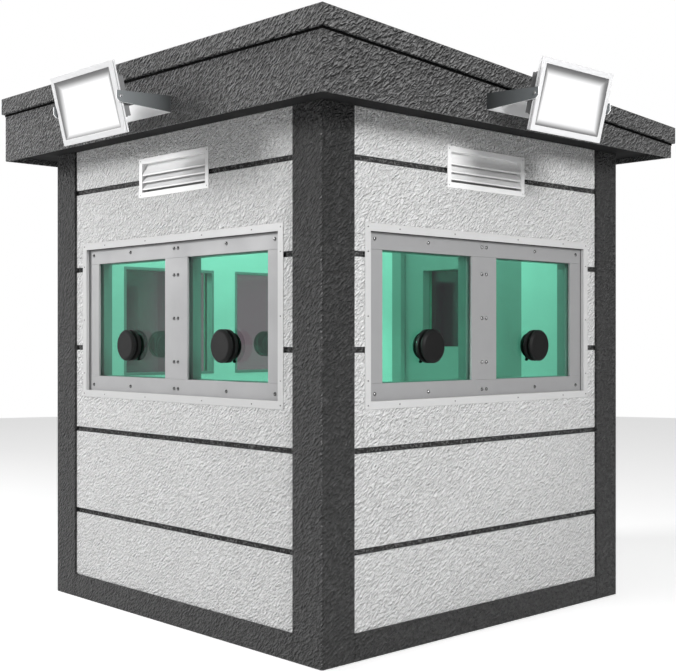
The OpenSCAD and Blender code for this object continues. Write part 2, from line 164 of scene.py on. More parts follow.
def add_ring(bm, width, height, rim, front, back, bottom, bevel=0.0, material=0):
    """A rectangular ring that stands upright: an inset face, opened and extruded."""
    upright = (Matrix.Translation((0, front, bottom + height / 2))
               @ Matrix.Rotation(math.radians(90), 4, "X")
               @ Matrix.Diagonal((width, height, 1, 1)))
    before = set(bm.faces)
    bmesh.ops.create_grid(bm, x_segments=1, y_segments=1, size=0.5, matrix=upright)
    sheet = [f for f in bm.faces if f not in before]
    bmesh.ops.inset_region(bm, faces=sheet, thickness=rim, use_boundary=True,
                           use_even_offset=True)
    bmesh.ops.delete(bm, geom=sheet, context="FACES_ONLY")
    band = [f for f in bm.faces if f not in before]
    grown = bmesh.ops.extrude_face_region(bm, geom=band, use_keep_orig=True)["geom"]
    bmesh.ops.translate(bm, vec=(0, back - front, 0),
                        verts=[v for v in grown if isinstance(v, bmesh.types.BMVert)])
    ring = [f for f in bm.faces if f not in before]
    for face in ring:
        face.material_index = material
    bmesh.ops.recalc_face_normals(bm, faces=ring)
    if bevel:
        bevel_edges(bm, {e for f in ring for e in f.edges}, bevel)


# %% Helpers for turned parts and screws
def add_spun(bm, outline, place, steps=48, material=0):
    """A shape turned about its own y axis. The outline is (radius, y) in millimetres."""
    before = set(bm.faces)
    verts = [bm.verts.new((r / 1000, y / 1000, 0)) for r, y in outline]
    edges = [bm.edges.new(pair) for pair in zip(verts, verts[1:])]
    bmesh.ops.spin(bm, geom=verts + edges, cent=(0, 0, 0), axis=(0, 1, 0),
                   angle=math.tau, steps=steps, use_merge=True)
    turned = list({v for f in bm.faces if f not in before for v in f.verts})
    bmesh.ops.remove_doubles(bm, verts=turned, dist=1e-6)
    faces = [f for f in bm.faces if f not in before]
    for face in faces:
        face.material_index = material
    bmesh.ops.transform(bm, matrix=place, verts=list({v for f in faces for v in f.verts}))


# How far a head reaches into what it is screwed to, in millimetres
SCREW_SUNK = 0.3


def add_screw(bm, u, depth, z, radius, height, material=0):
    """A domed head on a face that looks to the front. radius and height in millimetres."""
    dome = [(0, -height), (0.45 * radius, -0.92 * height), (0.8 * radius, -0.62 * height),
            (radius, -0.18 * height), (radius, SCREW_SUNK), (0, SCREW_SUNK)]
    add_spun(bm, dome, Matrix.Translation((u, depth, z)), 16, material)


print("shapes ready: block, ring, turned part, screw")

# %% [markdown]
# ## Shared effects
# Two effects come back on many parts: the rough coat on boards, posts and roof, and the
# quiet unevenness of a painted sheet. Each could be drawn again in every material, but as a
# node group it is built once, and each material gives it its own values. A group only works
# out colours and heights, and the shader stays in the material, where its gloss is set.

# %% Helpers for nodes and groups
def link(tree, source, target):
    tree.links.new(source, target)


def add_node(tree, kind, **settings):
    node = tree.nodes.new(kind)
    for name, value in settings.items():
        setattr(node, name, value)
    return node


def add_math(tree, operation, first, second=0.0):
    node = add_node(tree, "ShaderNodeMath", operation=operation)
    for socket, value in zip(node.inputs, (first, second)):
        if isinstance(value, (int, float)):
            socket.default_value = value
        else:
            link(tree, value, socket)
    return node.outputs[0]


def add_mix(tree, factor, first, second, blend="MIX"):
    """Mixes two colours, given as sockets or as plain values."""
    node = add_node(tree, "ShaderNodeMix", data_type="RGBA", blend_type=blend)
    for index, value in ((0, factor), (6, first), (7, second)):
        if hasattr(value, "links"):
            link(tree, value, node.inputs[index])
        else:
            node.inputs[index].default_value = value
    return node.outputs[2]


def add_range(tree, value, low, high, to_low=0.0, to_high=1.0):
    node = add_node(tree, "ShaderNodeMapRange")
    link(tree, value, node.inputs["Value"])
    for name, number in (("From Min", low), ("From Max", high),
                         ("To Min", to_low), ("To Max", to_high)):
        if hasattr(number, "links"):
            link(tree, number, node.inputs[name])
        else:
            node.inputs[name].default_value = number
    return node.outputs[0]


def add_noise(tree, coords, scale, detail=2.0, distortion=0.0):
    node = add_node(tree, "ShaderNodeTexNoise")
    link(tree, coords, node.inputs["Vector"])
    if hasattr(scale, "links"):
        link(tree, scale, node.inputs["Scale"])
    else:
        node.inputs["Scale"].default_value = scale
    node.inputs["Detail"].default_value = detail
    node.inputs["Distortion"].default_value = distortion
    return node.outputs["Fac"]


def object_coords(tree):
    return add_node(tree, "ShaderNodeTexCoord").outputs["Object"]


def new_group(name, inputs, outputs):
    """An empty node group with named inputs and outputs."""
    group = bpy.data.node_groups.new(name, "ShaderNodeTree")
    for label, kind, value in inputs:
        socket = group.interface.new_socket(label, in_out="INPUT", socket_type=kind)
        socket.default_value = value
    for label, kind in outputs:
        group.interface.new_socket(label, in_out="OUTPUT", socket_type=kind)
    return group, group.nodes.new("NodeGroupInput"), group.nodes.new("NodeGroupOutput")


COLOR, FLOAT = "NodeSocketColor", "NodeSocketFloat"
print("node helpers ready")

# %% [markdown]
# ### The rough coat
# The coat is trowelled on: soft slanting lumps about a centimetre across, with a finer grain
# on top. Sculpting them would take millions of faces, and a picture of them would show where
# it repeats. Noise costs no mesh and doesn't repeat. It is read on slanting axes, on which
# the lumps are drawn out into strokes.

# %% The slant of the strokes
# Across a stroke the noise runs at full speed, and along it at a third of that
STROKE_AXES = ((0.57, 0.57, -0.82), (0.3, 0.3, 0.2), (0.3, -0.3, 0.0))


def trowelled_coords(tree):
    """Object coordinates on slanting axes, so that the lumps are drawn out up to the right."""
    place = object_coords(tree)
    drawn = add_node(tree, "ShaderNodeCombineXYZ")
    for index, axis in enumerate(STROKE_AXES):
        reach = add_node(tree, "ShaderNodeVectorMath", operation="DOT_PRODUCT")
        link(tree, place, reach.inputs[0])
        reach.inputs[1].default_value = axis
        link(tree, reach.outputs["Value"], drawn.inputs[index])
    return drawn.outputs[0]


print("strokes run on", len(STROKE_AXES), "axes")

# %% [markdown]
# The hollows between the lumps are painted a little darker, as painted shade. One side of each
# stroke is painted paler and the other darker, as painted highlight and shade of a light from
# the upper left. This comes from comparing the height with the height a few millimetres
# further across the stroke. The same height drives the bump and both painted shades, so they
# agree.

# %% The rough coat
# How far across a stroke the height is compared, for the painted highlight and shade of its
# slopes
EMBOSS_SHIFT = 0.003
# Lumps run over this part of the noise's range
LUMP_RANGE = (0.3, 0.7)
GRAINS_PER_LUMP = 3.1
# Broad patches, a few to a metre, where the whole coat came out darker or paler
PATCHES_PER_METRE, PATCH_SHADES = 2.3, (0.965, 1.03)

coat_group, coat_in, coat_out = new_group(
    "rough_coat",
    (("Color", COLOR, (0.7, 0.7, 0.7, 1)), ("Hollow shade", FLOAT, 0.7),
     ("Lumps per metre", FLOAT, 80.0), ("Grain share", FLOAT, 0.3),
     ("Lip contrast", FLOAT, 0.2), ("Roughness", FLOAT, 0.8)),
    (("Color", COLOR), ("Roughness", FLOAT), ("Height", FLOAT)))
coat_place = trowelled_coords(coat_group)
emboss_place = add_node(coat_group, "ShaderNodeVectorMath", operation="ADD")
link(coat_group, coat_place, emboss_place.inputs[0])
emboss_place.inputs[1].default_value = (EMBOSS_SHIFT, 0, 0)
lumps, emboss_lumps = [
    add_range(coat_group, add_noise(coat_group, place, coat_in.outputs["Lumps per metre"],
                                    1.5, 0.5), *LUMP_RANGE)
    for place in (coat_place, emboss_place.outputs[0])]
# Painted highlight where the coat rises across the stroke, painted shade where it falls
rise = add_math(coat_group, "SUBTRACT", emboss_lumps, lumps)
lips = add_math(coat_group, "ADD", 1.0, add_math(
    coat_group, "MULTIPLY", rise, coat_in.outputs["Lip contrast"]))
grain_scale = add_math(coat_group, "MULTIPLY", coat_in.outputs["Lumps per metre"],
                       GRAINS_PER_LUMP)
grain = add_noise(coat_group, coat_place, grain_scale, 3.0, 0.4)
grain_part = add_math(coat_group, "MULTIPLY", grain, coat_in.outputs["Grain share"])
coat_height = add_math(coat_group, "ADD", lumps, grain_part)
patches = add_range(coat_group, add_noise(coat_group, coat_place, PATCHES_PER_METRE, 3.0),
                    0.3, 0.7, *PATCH_SHADES)
# Darker hollows between the lumps: painted shade
hollows = add_range(coat_group, coat_height, 0.25, 0.8,
                    coat_in.outputs["Hollow shade"], 1.0)
shade = add_math(coat_group, "MULTIPLY", add_math(coat_group, "MULTIPLY", hollows, patches),
                 lips)
link(coat_group, add_mix(coat_group, 1.0, coat_in.outputs["Color"], shade, "MULTIPLY"),
     coat_out.inputs["Color"])
link(coat_group, add_math(coat_group, "MULTIPLY", coat_in.outputs["Roughness"],
                          add_range(coat_group, grain, 0.3, 0.7, 1.08, 0.92)),
     coat_out.inputs["Roughness"])
link(coat_group, coat_height, coat_out.inputs["Height"])
print("rough coat:", len(coat_group.nodes), "nodes")

# %% [markdown]
# ### The satin sheet
# Paint and anodising look flat from afar, but are never quite even: the gloss drifts over a
# hand's width, and a fine orange peel breaks up the reflections. A plain colour would look
# like moulded plastic. One broad noise and one very fine one are enough to prevent that.

# %% The satin sheet
DRIFTS_PER_METRE, PEEL_PER_METRE = 6.0, 420.0

satin_group, satin_in, satin_out = new_group(
    "satin_sheet",
    (("Color", COLOR, (0.8, 0.8, 0.8, 1)), ("Drift", FLOAT, 0.03),
     ("Roughness", FLOAT, 0.4)),
    (("Color", COLOR), ("Roughness", FLOAT), ("Height", FLOAT)))
satin_place = object_coords(satin_group)
drift = add_noise(satin_group, satin_place, DRIFTS_PER_METRE, 3.0)
low_shade = add_math(satin_group, "SUBTRACT", 1.0, satin_in.outputs["Drift"])
satin_shade = add_range(satin_group, drift, 0.35, 0.65, low_shade, 1.0)
link(satin_group, add_mix(satin_group, 1.0, satin_in.outputs["Color"], satin_shade,
                          "MULTIPLY"), satin_out.inputs["Color"])
link(satin_group, add_math(satin_group, "MULTIPLY", satin_in.outputs["Roughness"],
                           add_range(satin_group, drift, 0.35, 0.65, 1.12, 0.92)),
     satin_out.inputs["Roughness"])
link(satin_group, add_noise(satin_group, satin_place, PEEL_PER_METRE, 1.0),
     satin_out.inputs["Height"])
print("satin sheet:", len(satin_group.nodes), "nodes")

# %% [markdown]
# ### From effect to material
# A material is one Principled shader with a group in front of it. The wiring between the two
# is the same in every finish. It could be drawn by hand in the shader editor, but there are
# over a dozen finishes to make, so a helper does it.

# %% Helpers that put an effect into a material
# Height of the orange peel on paint and metal, in metres
PEEL = 0.00003


def new_material(name, **plain):
    """A material whose Principled shader has these plain values."""
    material = bpy.data.materials.new(name)
    material.use_nodes = True
    shader = material.node_tree.nodes["Principled BSDF"]
    for socket, value in plain.items():
        shader.inputs[socket.replace("_", " ")].default_value = value
    return material, material.node_tree, shader


def add_effect(tree, shader, group, bump, **values):
    """Feeds colour, roughness and bump of a shader from a group. bump is in metres."""
    effect = add_node(tree, "ShaderNodeGroup", node_tree=group)
    for socket, value in values.items():
        effect.inputs[socket.replace("_", " ")].default_value = value
    link(tree, effect.outputs["Color"], shader.inputs["Base Color"])
    link(tree, effect.outputs["Roughness"], shader.inputs["Roughness"])
    relief = add_node(tree, "ShaderNodeBump")
    relief.inputs["Distance"].default_value = bump
    relief.inputs["Strength"].default_value = 1.0
    link(tree, effect.outputs["Height"], relief.inputs["Height"])
    link(tree, relief.outputs["Normal"], shader.inputs["Normal"])
    return effect


def grey(value, blue=0.0):
    return (value, value, value + blue, 1.0)


def coated(name, color, roughness, bump, **values):
    material, tree, shader = new_material(name)
    add_effect(tree, shader, coat_group, bump, Color=color, Roughness=roughness, **values)
    return material


def satin(name, color, roughness, drift, **plain):
    material, tree, shader = new_material(name, **plain)
    add_effect(tree, shader, satin_group, PEEL, Color=color, Roughness=roughness,
               Drift=drift)
    return material


print("orange peel", PEEL, "m high")

# %% [markdown]
# ## Finishes
# The boards carry a pale mineral render. Posts, base and roof wear the same coat in
# charcoal, with more binder in it, so it glints where the light grazes the lumps. A second
# group could do the dark one, but the strokes are the same, and only the numbers differ.

# %% Coats of the walls, posts and roof
board_render = coated("board_render", grey(0.745), 0.72, 0.012, Hollow_shade=0.8,
                      Lumps_per_metre=130.0, Grain_share=0.35, Lip_contrast=0.8)
post_coat = coated("post_coat", grey(0.07), 0.34, 0.03, Hollow_shade=0.45,
                   Lumps_per_metre=115.0, Grain_share=0.2, Lip_contrast=2.4)
roof_coat = coated("roof_coat", grey(0.2), 0.3, 0.035, Hollow_shade=0.4,
                   Lumps_per_metre=112.0, Grain_share=0.2, Lip_contrast=4.0)
roof_membrane = coated("roof_membrane", grey(0.05), 0.75, 0.0006, Hollow_shade=0.85,
                       Lumps_per_metre=160.0, Grain_share=0.6)

# %% [markdown]
# A wall core shows twice: as the dark strip in the seams between the boards, and as the pale
# lining indoors. Two materials would need its faces sorted. The distance from the middle of
# the booth tells the two apart as well, so one material serves both. The ceiling panel works
# the same way: dark outside as the soffit, pale over the room.

# %% Linings that are dark outdoors and pale indoors
# Grey of the window sleeves: partly painted shade of the reveal
SLEEVE_SHADE_GREY = 0.26
FLECKS_PER_METRE = 130.0


def booth_reach(tree):
    """The distance from the booth's middle, on the farther of the two level axes."""
    place = add_node(tree, "ShaderNodeSeparateXYZ")
    link(tree, object_coords(tree), place.inputs[0])
    return add_math(tree, "MAXIMUM", add_math(tree, "ABSOLUTE", place.outputs[0]),
                    add_math(tree, "ABSOLUTE", place.outputs[1]))


def two_faced(name, outdoor, indoor, border, speckle=0.0, rebate=0.0):
    """Dark beyond border metres from the booth's middle, and pale within.

    The last few centimetres before the border, its rebate, are grey as the sleeves: partly
    painted shade of the window's reveal."""
    material, tree, shader = new_material(name)
    if speckle:
        flecks = add_range(tree, add_noise(tree, object_coords(tree), FLECKS_PER_METRE),
                           0.5, 0.62)
        outdoor = add_mix(tree, flecks, outdoor, grey(speckle))
    effect = add_effect(tree, shader, satin_group, PEEL, Roughness=0.8, Drift=0.04)
    shader.inputs["Specular IOR Level"].default_value = 0.15
    reach = booth_reach(tree)
    if rebate:
        under_glass = add_math(tree, "GREATER_THAN", reach, border - rebate)
        indoor = add_mix(tree, under_glass, indoor, grey(SLEEVE_SHADE_GREY))
    outside = add_math(tree, "GREATER_THAN", reach, border)
    link(tree, add_mix(tree, outside, indoor, outdoor), effect.inputs["Color"])
    return material


wall_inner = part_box("front_wall")[1].y
wall_lining = two_faced("wall_lining", grey(0.02), (0.82, 0.83, 0.82, 1),
                        half_booth - 0.05, speckle=0.12, rebate=0.035)
soffit_lining = two_faced("soffit_lining", grey(0.018, 0.0005), grey(0.8),
                          abs(wall_inner) + 0.002)
print(f"room lining starts {abs(wall_inner):.3f} m from the middle")

# %% [markdown]
# The trims are powder-coated white. The riveted plates are aluminium under a dull coat. Bare
# metal would only mirror the sky and the floor, and paint would ignore them. A third of
# Metallic gives the plates some of both.

# %% Metals and paints
floor_vinyl = satin("floor_vinyl", grey(0.42), 0.5, 0.12)
white_trim = satin("white_trim", grey(0.53), 0.32, 0.02)
vent_paint = satin("vent_paint", grey(0.8), 0.4, 0.03)
screen_paint = satin("screen_paint", grey(0.35), 0.6, 0.1)
plate_metal = satin("plate_metal", grey(0.33, 0.004), 0.58, 0.03, Metallic=0.3)
rivet_metal = satin("rivet_metal", grey(0.2), 0.18, 0.05, Metallic=1.0)
reveal_metal_and_shade = satin("reveal_metal_and_shade", grey(SLEEVE_SHADE_GREY), 0.3, 0.05)
door_paint = satin("door_paint", (0.33, 0.34, 0.33, 1), 0.4, 0.04)
steel = satin("satin_steel", grey(0.62), 0.28, 0.08, Metallic=1.0)
port_black = satin("port_black", grey(0.008), 0.5, 0.2, Specular_IOR_Level=0.18)
joint_painted_shadow = satin("joint_painted_shadow", grey(0.001), 0.9, 0.02, Specular_IOR_Level=0.05)
# Black for the lamps' gaskets, and for the strips of painted shadow along the window trims
gasket_and_shadow_black = satin("gasket_and_shadow_black", grey(0.012), 0.7, 0.2)
bracket_plate = satin("bracket_plate", grey(0.93, 0.006), 0.65, 0.03)
lamp_grey = satin("lamp_grey", grey(0.2, 0.003), 0.45, 0.05, Metallic=0.3)
lamp_white = satin("lamp_white", grey(0.70, 0.008), 0.3, 0.02)
print("plates, rivets, trims and cases have their finish")

# %% [markdown]
# The arms of a lamp's bracket are bare zinc. Their dark is painted reflection of the dark
# surroundings, and is painted deeper towards the fascia as painted shade. Painting the shade
# on would tie it to one arm, so the distance from the booth's middle sets it on all of them.

# %% The zinc of the arms
# Where the painted shade starts and ends, outwards from the wall
ARM_START, ARM_END = 0.18, 0.45
ARM_PAINTED_SHADES = (0.04, 0.26)

bracket_arm, arm_tree, arm_shader = new_material("bracket_arm", Metallic=0.25)
arm_effect = add_effect(arm_tree, arm_shader, satin_group, PEEL, Roughness=0.34, Drift=0.08)
arm_painted_shade = add_range(arm_tree, booth_reach(arm_tree), half_booth + ARM_START,
                      half_booth + ARM_END, *ARM_PAINTED_SHADES)
link(arm_tree, add_mix(arm_tree, 1.0, (0.9, 0.97, 1.0, 1), arm_painted_shade, "MULTIPLY"),
     arm_effect.inputs["Color"])
print(f"zinc from {ARM_START} to {ARM_END} m off the wall")

# %% [markdown]
# ## Glass
# Laminated glass this thick is green, and bends what is seen through it. Light has to reach
# the room as well: a lamp can't find its way through a bending surface, so for shadows and
# for bounced light the pane is simply clear, and only the eye sees the tint.

# %% The green glass
GLASS_TINT = (0.22, 0.83, 0.58, 1.0)
REAM_TINT = tuple(0.96 * c for c in GLASS_TINT[:3]) + (1.0,)
CLEAR_TINT = (0.88, 0.95, 0.92, 1.0)

green_glass, glass_tree, glass_shader = new_material(
    "green_glass", Metallic=0.0, IOR=1.5, Transmission_Weight=1.0,
    Specular_IOR_Level=0.2)
ream = add_noise(glass_tree, object_coords(glass_tree), 5.0, 1.0)
link(glass_tree, add_mix(glass_tree, ream, GLASS_TINT, REAM_TINT),
     glass_shader.inputs["Base Color"])
link(glass_tree, add_range(glass_tree, ream, 0.3, 0.7, 0.0, 0.012),
     glass_shader.inputs["Roughness"])
glass_path = add_node(glass_tree, "ShaderNodeLightPath")
lets_light = add_math(glass_tree, "MAXIMUM", glass_path.outputs["Is Shadow Ray"],
                      glass_path.outputs["Is Diffuse Ray"])
clear = add_node(glass_tree, "ShaderNodeBsdfTransparent")
clear.inputs["Color"].default_value = CLEAR_TINT
glass_switch = add_node(glass_tree, "ShaderNodeMixShader")
link(glass_tree, lets_light, glass_switch.inputs[0])
link(glass_tree, glass_shader.outputs[0], glass_switch.inputs[1])
link(glass_tree, clear.outputs[0], glass_switch.inputs[2])
link(glass_tree, glass_switch.outputs[0],
     glass_tree.nodes["Material Output"].inputs["Surface"])
print("glass tint", GLASS_TINT[:3])

# %% [markdown]
# ## The lamp's glow
# A floodlight is a bright board at the bottom of a shallow reflector. The board is blown out
# to white, and the sloping walls fall off to grey at the rim. A real light inside would need
# many samples to come out clean, so the tray itself glows. Each of its vertices stores how
# much of the glow it gets, so the pattern tilts with the lamp.

# %% The glowing reflector
GLOW = "glow"
# How bright the tray is between its dull rim and the board
GLOW_STOPS = ((0.25, 0.16), (0.5, 0.5), (0.75, 0.9))

lamp_glow, glow_tree, glow_shader = new_material("lamp_glow", Roughness=0.5)
glow_amount = add_node(glow_tree, "ShaderNodeAttribute", attribute_name=GLOW)
glow_ramp = add_node(glow_tree, "ShaderNodeValToRGB")
stops = glow_ramp.color_ramp.elements
stops[0].position, stops[0].color = 0.0, (0.03, 0.03, 0.032, 1)
stops[1].position, stops[1].color = 1.0, (1.2, 1.2, 1.2, 1)
for position, value in GLOW_STOPS:
    stop = stops.new(position)
    stop.color = (value, value, value * 1.01, 1)
link(glow_tree, glow_amount.outputs["Fac"], glow_ramp.inputs["Fac"])
link(glow_tree, glow_ramp.outputs["Color"], glow_shader.inputs["Emission Color"])
glow_shader.inputs["Emission Strength"].default_value = 0.9
glow_base = add_noise(glow_tree, object_coords(glow_tree), 30.0, 1.0)
link(glow_tree, add_mix(glow_tree, glow_base, grey(0.08), grey(0.09)),
     glow_shader.inputs["Base Color"])
print("materials:", len(bpy.data.materials))

# %% [markdown]
# ## Posts, base and boards
# The posts and the base are folded from sheet and coated, so their corners are round. The
# boards have a small chamfer all round, which shows as a bright line beside each dark seam.
# New blocks would do, but the CAD parts already meet exactly, so each is copied and only its
# edges change.

# %% The booth's shell
POST_CORNER = 0.012
FOLD, CHAMFER = 0.003, 0.0028
SQUARE_ANGLE = math.radians(60)


def is_outer_corner(edge):
    """True for an upright edge on the booth's own corner."""
    first, second = (v.co for v in edge.verts)
    upright = (first.xy - second.xy).length < 1e-5
    return upright and min(abs(first.x), abs(first.y)) > half_booth - 1e-4


posts = copied_part("corner_posts")
bevel_edges(posts, [e for e in posts.edges if is_outer_corner(e)], POST_CORNER, 5)
straight = [e for e in posts.edges if e.calc_face_angle(0) > SQUARE_ANGLE]
bevel_edges(posts, straight, FOLD)
new_piece("corner_post_covers", posts, [post_coat],
          stands_for=["corner_posts"])
new_piece("base_covers", softened_part("base_rails", FOLD), [post_coat],
          stands_for=["base_rails"])
for side in SIDE_TURN:
    new_piece(f"{side}_boards", softened_part(f"{side}_cladding", CHAMFER), [board_render],
              stands_for=[f"{side}_cladding"])
for name, material in (("front_wall", wall_lining), ("right_wall", wall_lining),
                       ("left_wall", wall_lining), ("back_wall_sides", wall_lining),
                       ("back_wall_head", wall_lining), ("floor_panel", floor_vinyl),
                       ("ceiling_panel", soffit_lining)):
    cad_nodes[name].data.materials.clear()
    cad_nodes[name].data.materials.append(material)
print("shell: posts, base, four sides of boards and the lined walls")

# %% [markdown]
# ## Windows
# Each window is a stack: a white trim on the boards, a frame of riveted plates set back in
# it, two panes, and a sleeve that lines the opening behind each pane, dark partly as painted
# shade. The top and bottom plates run the full width, and the stiles and the mullion butt
# against them. One sheet with two holes would be simpler, but the joints between the plates
# show, so each plate is a block of its own.

# %% Sizes of a window, taken from the front one
trim_low, trim_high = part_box("front_window_trim")
plate_low, plate_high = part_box("front_window_frame")
glass_low, glass_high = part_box("front_window_glass")
window_mid_z = (trim_low.z + trim_high.z) / 2
GLASS_BITE, MULLION, TRIM_WIDTH = 0.025, 0.172, 0.033
pane_edge = glass_high.x - GLASS_BITE
pane_low_z, pane_high_z = glass_low.z + GLASS_BITE, glass_high.z - GLASS_BITE
pane_width = pane_edge - MULLION / 2
pane_mid = (pane_edge + MULLION / 2) / 2
plate_front, plate_back = depth_of("front_window_frame")
glass_front, glass_back = depth_of("front_window_glass")
trim_face = depth_of("front_window_trim")[0]
print(f"pane {pane_width:.3f} x {pane_high_z - pane_low_z:.3f} m, glass "
      f"{1000 * (glass_back - glass_front):.0f} mm thick")

# %% The plates, with dark strips round them as painted shadow
JOINT_GAP, PLATE_EDGE, SHADOW_STRIP = 0.0004, 0.0009, 0.0015


def add_plates(bm):
    stile = plate_high.x
    rows = ((plate_low.z, pane_low_z - JOINT_GAP), (pane_high_z + JOINT_GAP, plate_high.z))
    for bottom, top in rows:
        add_block(bm, (-stile, plate_front, bottom), (stile, plate_back, top), PLATE_EDGE)
    for left, right in ((-stile, -pane_edge), (pane_edge, stile),
                        (-MULLION / 2, MULLION / 2)):
        add_block(bm, (left, plate_front, pane_low_z), (right, plate_back, pane_high_z),
                  PLATE_EDGE)


def add_trim_shadow_strips(bm):
    """A dark strip under the trim's top, and a thin one beside each stile: painted shadow
    where the trim meets the plates.
    """
    edge = trim_high.x - TRIM_WIDTH
    top, bottom = trim_high.z - TRIM_WIDTH, trim_low.z + TRIM_WIDTH
    add_block(bm, (-edge, trim_face + 0.002, top - SHADOW_STRIP), (edge, plate_front, top),
              0.0003, 1, material=1)
    for left in (-edge, edge - SHADOW_STRIP):
        add_block(bm, (left, plate_front - 2 * SHADOW_STRIP, bottom),
                  (left + SHADOW_STRIP, plate_front, top - SHADOW_STRIP), 0.0003, 1, material=1)


for side in WINDOW_SIDES:
    new_piece(f"{side}_trim", softened_part(f"{side}_window_trim", 0.0012), [white_trim],
              stands_for=[f"{side}_window_trim"])

    plates = bmesh.new()
    add_plates(plates)
    add_trim_shadow_strips(plates)
    plates.transform(side_matrix(side))
    new_piece(f"{side}_plates", plates, [plate_metal, gasket_and_shadow_black],
              stands_for=[f"{side}_window_frame"])
    new_piece(f"{side}_panes", softened_part(f"{side}_window_glass", 0.001), [green_glass],
              stands_for=[f"{side}_window_glass"])
print("plates set back", round(1000 * (plate_front - trim_face)), "mm from the trim")

# %% [markdown]
# Rivets hold the plates, in pairs where two plates meet, and small screws hold the trim. A
# bump in the material would look flat, because a real dome mirrors the light as a bright dot
# with a dark side. So each head is spun from an outline.

# %% Rivets and trim screws
# Radius and height in millimetres
RIVET, TRIM_SCREW = (8.0, 6.0), (3.4, 1.3)
# Offsets from the middle of a window, sideways or upwards
PAIR_OFFSET = 0.015
RAIL_OFFSET, MULLION_OFFSET = 0.315, 0.195
RAIL_RIVETS = (-0.687, -0.366, 0.366, 0.687)
TRIM_SCREWS_ALONG, TRIM_SCREWS_UP = (-0.56, -0.217, 0.217, 0.56), (-0.26, 0.0, 0.26)


def rivet_places():
    """Pairs on the mullion's line, and single ones near the corners and over the panes."""
    for offset in (-RAIL_OFFSET, -MULLION_OFFSET, 0.0, MULLION_OFFSET, RAIL_OFFSET):
        for u in (-PAIR_OFFSET, PAIR_OFFSET):
            yield u, window_mid_z + offset
    for offset in (-RAIL_OFFSET, RAIL_OFFSET):
        for u in RAIL_RIVETS:
            yield u, window_mid_z + offset


def trim_screw_places():
    middle = trim_high.x - TRIM_WIDTH / 2
    offset = (trim_high.z - trim_low.z - TRIM_WIDTH) / 2
    for z in (window_mid_z - offset, window_mid_z + offset):
        for u in (-middle, *TRIM_SCREWS_ALONG, middle):
            yield u, z
    for u in (-middle, middle):
        for shift in TRIM_SCREWS_UP:
            yield u, window_mid_z + shift


for side in WINDOW_SIDES:
    rivets = bmesh.new()
    for u, z in rivet_places():
        add_screw(rivets, u, plate_front, z, *RIVET)
    for u, z in trim_screw_places():
        add_screw(rivets, u, trim_face, z, *TRIM_SCREW)
    rivets.transform(side_matrix(side))
    new_piece(f"{side}_rivets", rivets, [rivet_metal], smooth=True)
print(len(list(rivet_places())), "rivets and", len(list(trim_screw_places())),
      "trim screws to a window")

# %% [markdown]
# Behind each pane a folded sleeve lines the wall, and its flange covers the cut edge
# indoors. Seen through the glass it is the dark green band beside the bright room. Its dark
# grey is partly painted shade of the reveal, which the lamps shade as well. Four strips would
# have to be mitred, while a ring that is inset and extruded has its corners closed from the
# start.

# %% Sleeves in the openings
SLEEVE, FLANGE = 0.002, 0.012
wall_depth = wall_inner + half_booth

for side in WINDOW_SIDES:
    sleeves = bmesh.new()
    for middle in (-pane_mid, pane_mid):
        one = bmesh.new()
        add_ring(one, pane_width, pane_high_z - pane_low_z, SLEEVE, glass_back,
                 wall_depth + SLEEVE, pane_low_z)
        add_ring(one, pane_width + 2 * FLANGE, pane_high_z - pane_low_z + 2 * FLANGE,
                 FLANGE, wall_depth, wall_depth + SLEEVE, pane_low_z - FLANGE, 0.0007)
        one.transform(Matrix.Translation((middle, 0, 0)))
        holder = bpy.data.meshes.new("sleeve")
        one.to_mesh(holder)
        one.free()
        sleeves.from_mesh(holder)
        bpy.data.meshes.remove(holder)
    sleeves.transform(side_matrix(side))
    new_piece(f"{side}_sleeves", sleeves, [reveal_metal_and_shade])
print(f"sleeves {1000 * (wall_depth - glass_back):.0f} mm deep")

# %% [markdown]
# ## Gun ports
# A port is turned from bar: a front disc with a chamfer, a neck, a rear disc against the
# glass, the sleeve through it and a flange indoors. Stacked cylinders would leave hidden
# faces inside it, so it is one outline, spun about the port's axis as on a lathe. The latch
# of its lock is behind the flange, and ends in a small ball as its grip.

# %% The turned ports
# The depths are in millimetres from the front of the glass
port_low, port_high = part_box("front_gun_ports")
port_z = (port_low.z + port_high.z) / 2
port_tip, port_inside = (1000 * (depth - glass_front) for depth in depth_of("front_gun_ports"))
glass_mm = 1000 * (glass_back - glass_front)
PORT_OUTLINE = [
    (0, port_tip), (60, port_tip), (61, port_tip + 1), (62.2, port_tip + 1),
    (70.4, port_tip + 7.4), (71.6, port_tip + 9), (72, port_tip + 11),
    (72, port_tip + 14.6), (70.8, port_tip + 16), (59, port_tip + 16),
    (58, port_tip + 17), (58, -17), (59, -16), (70.8, -16), (72, -14.6), (72, -9.4),
    (71.2, -8.6), (71.2, -7.4), (72, -6.6), (72, -1.4), (71, 0), (45, 0),
    (45, glass_mm), (54.8, glass_mm), (56, glass_mm + 1.4), (56, port_inside - 3),
    (53, port_inside), (0, port_inside)]
GRIP_OUTLINE = [(0, 0), (3.5, 0), (3.5, 3), (6.2, 4.6), (7.6, 8), (7.6, 10.6), (6.2, 14),
                (3.4, 15.8), (0, 16.2)]
# The latch bar, in metres: its width and thickness, and its ends below the port's middle
LATCH_WIDTH, LATCH_SHEET, LATCH_TOP, LATCH_END = 0.014, 0.009, -0.020, -0.058
latch_face = glass_front + port_inside / 1000

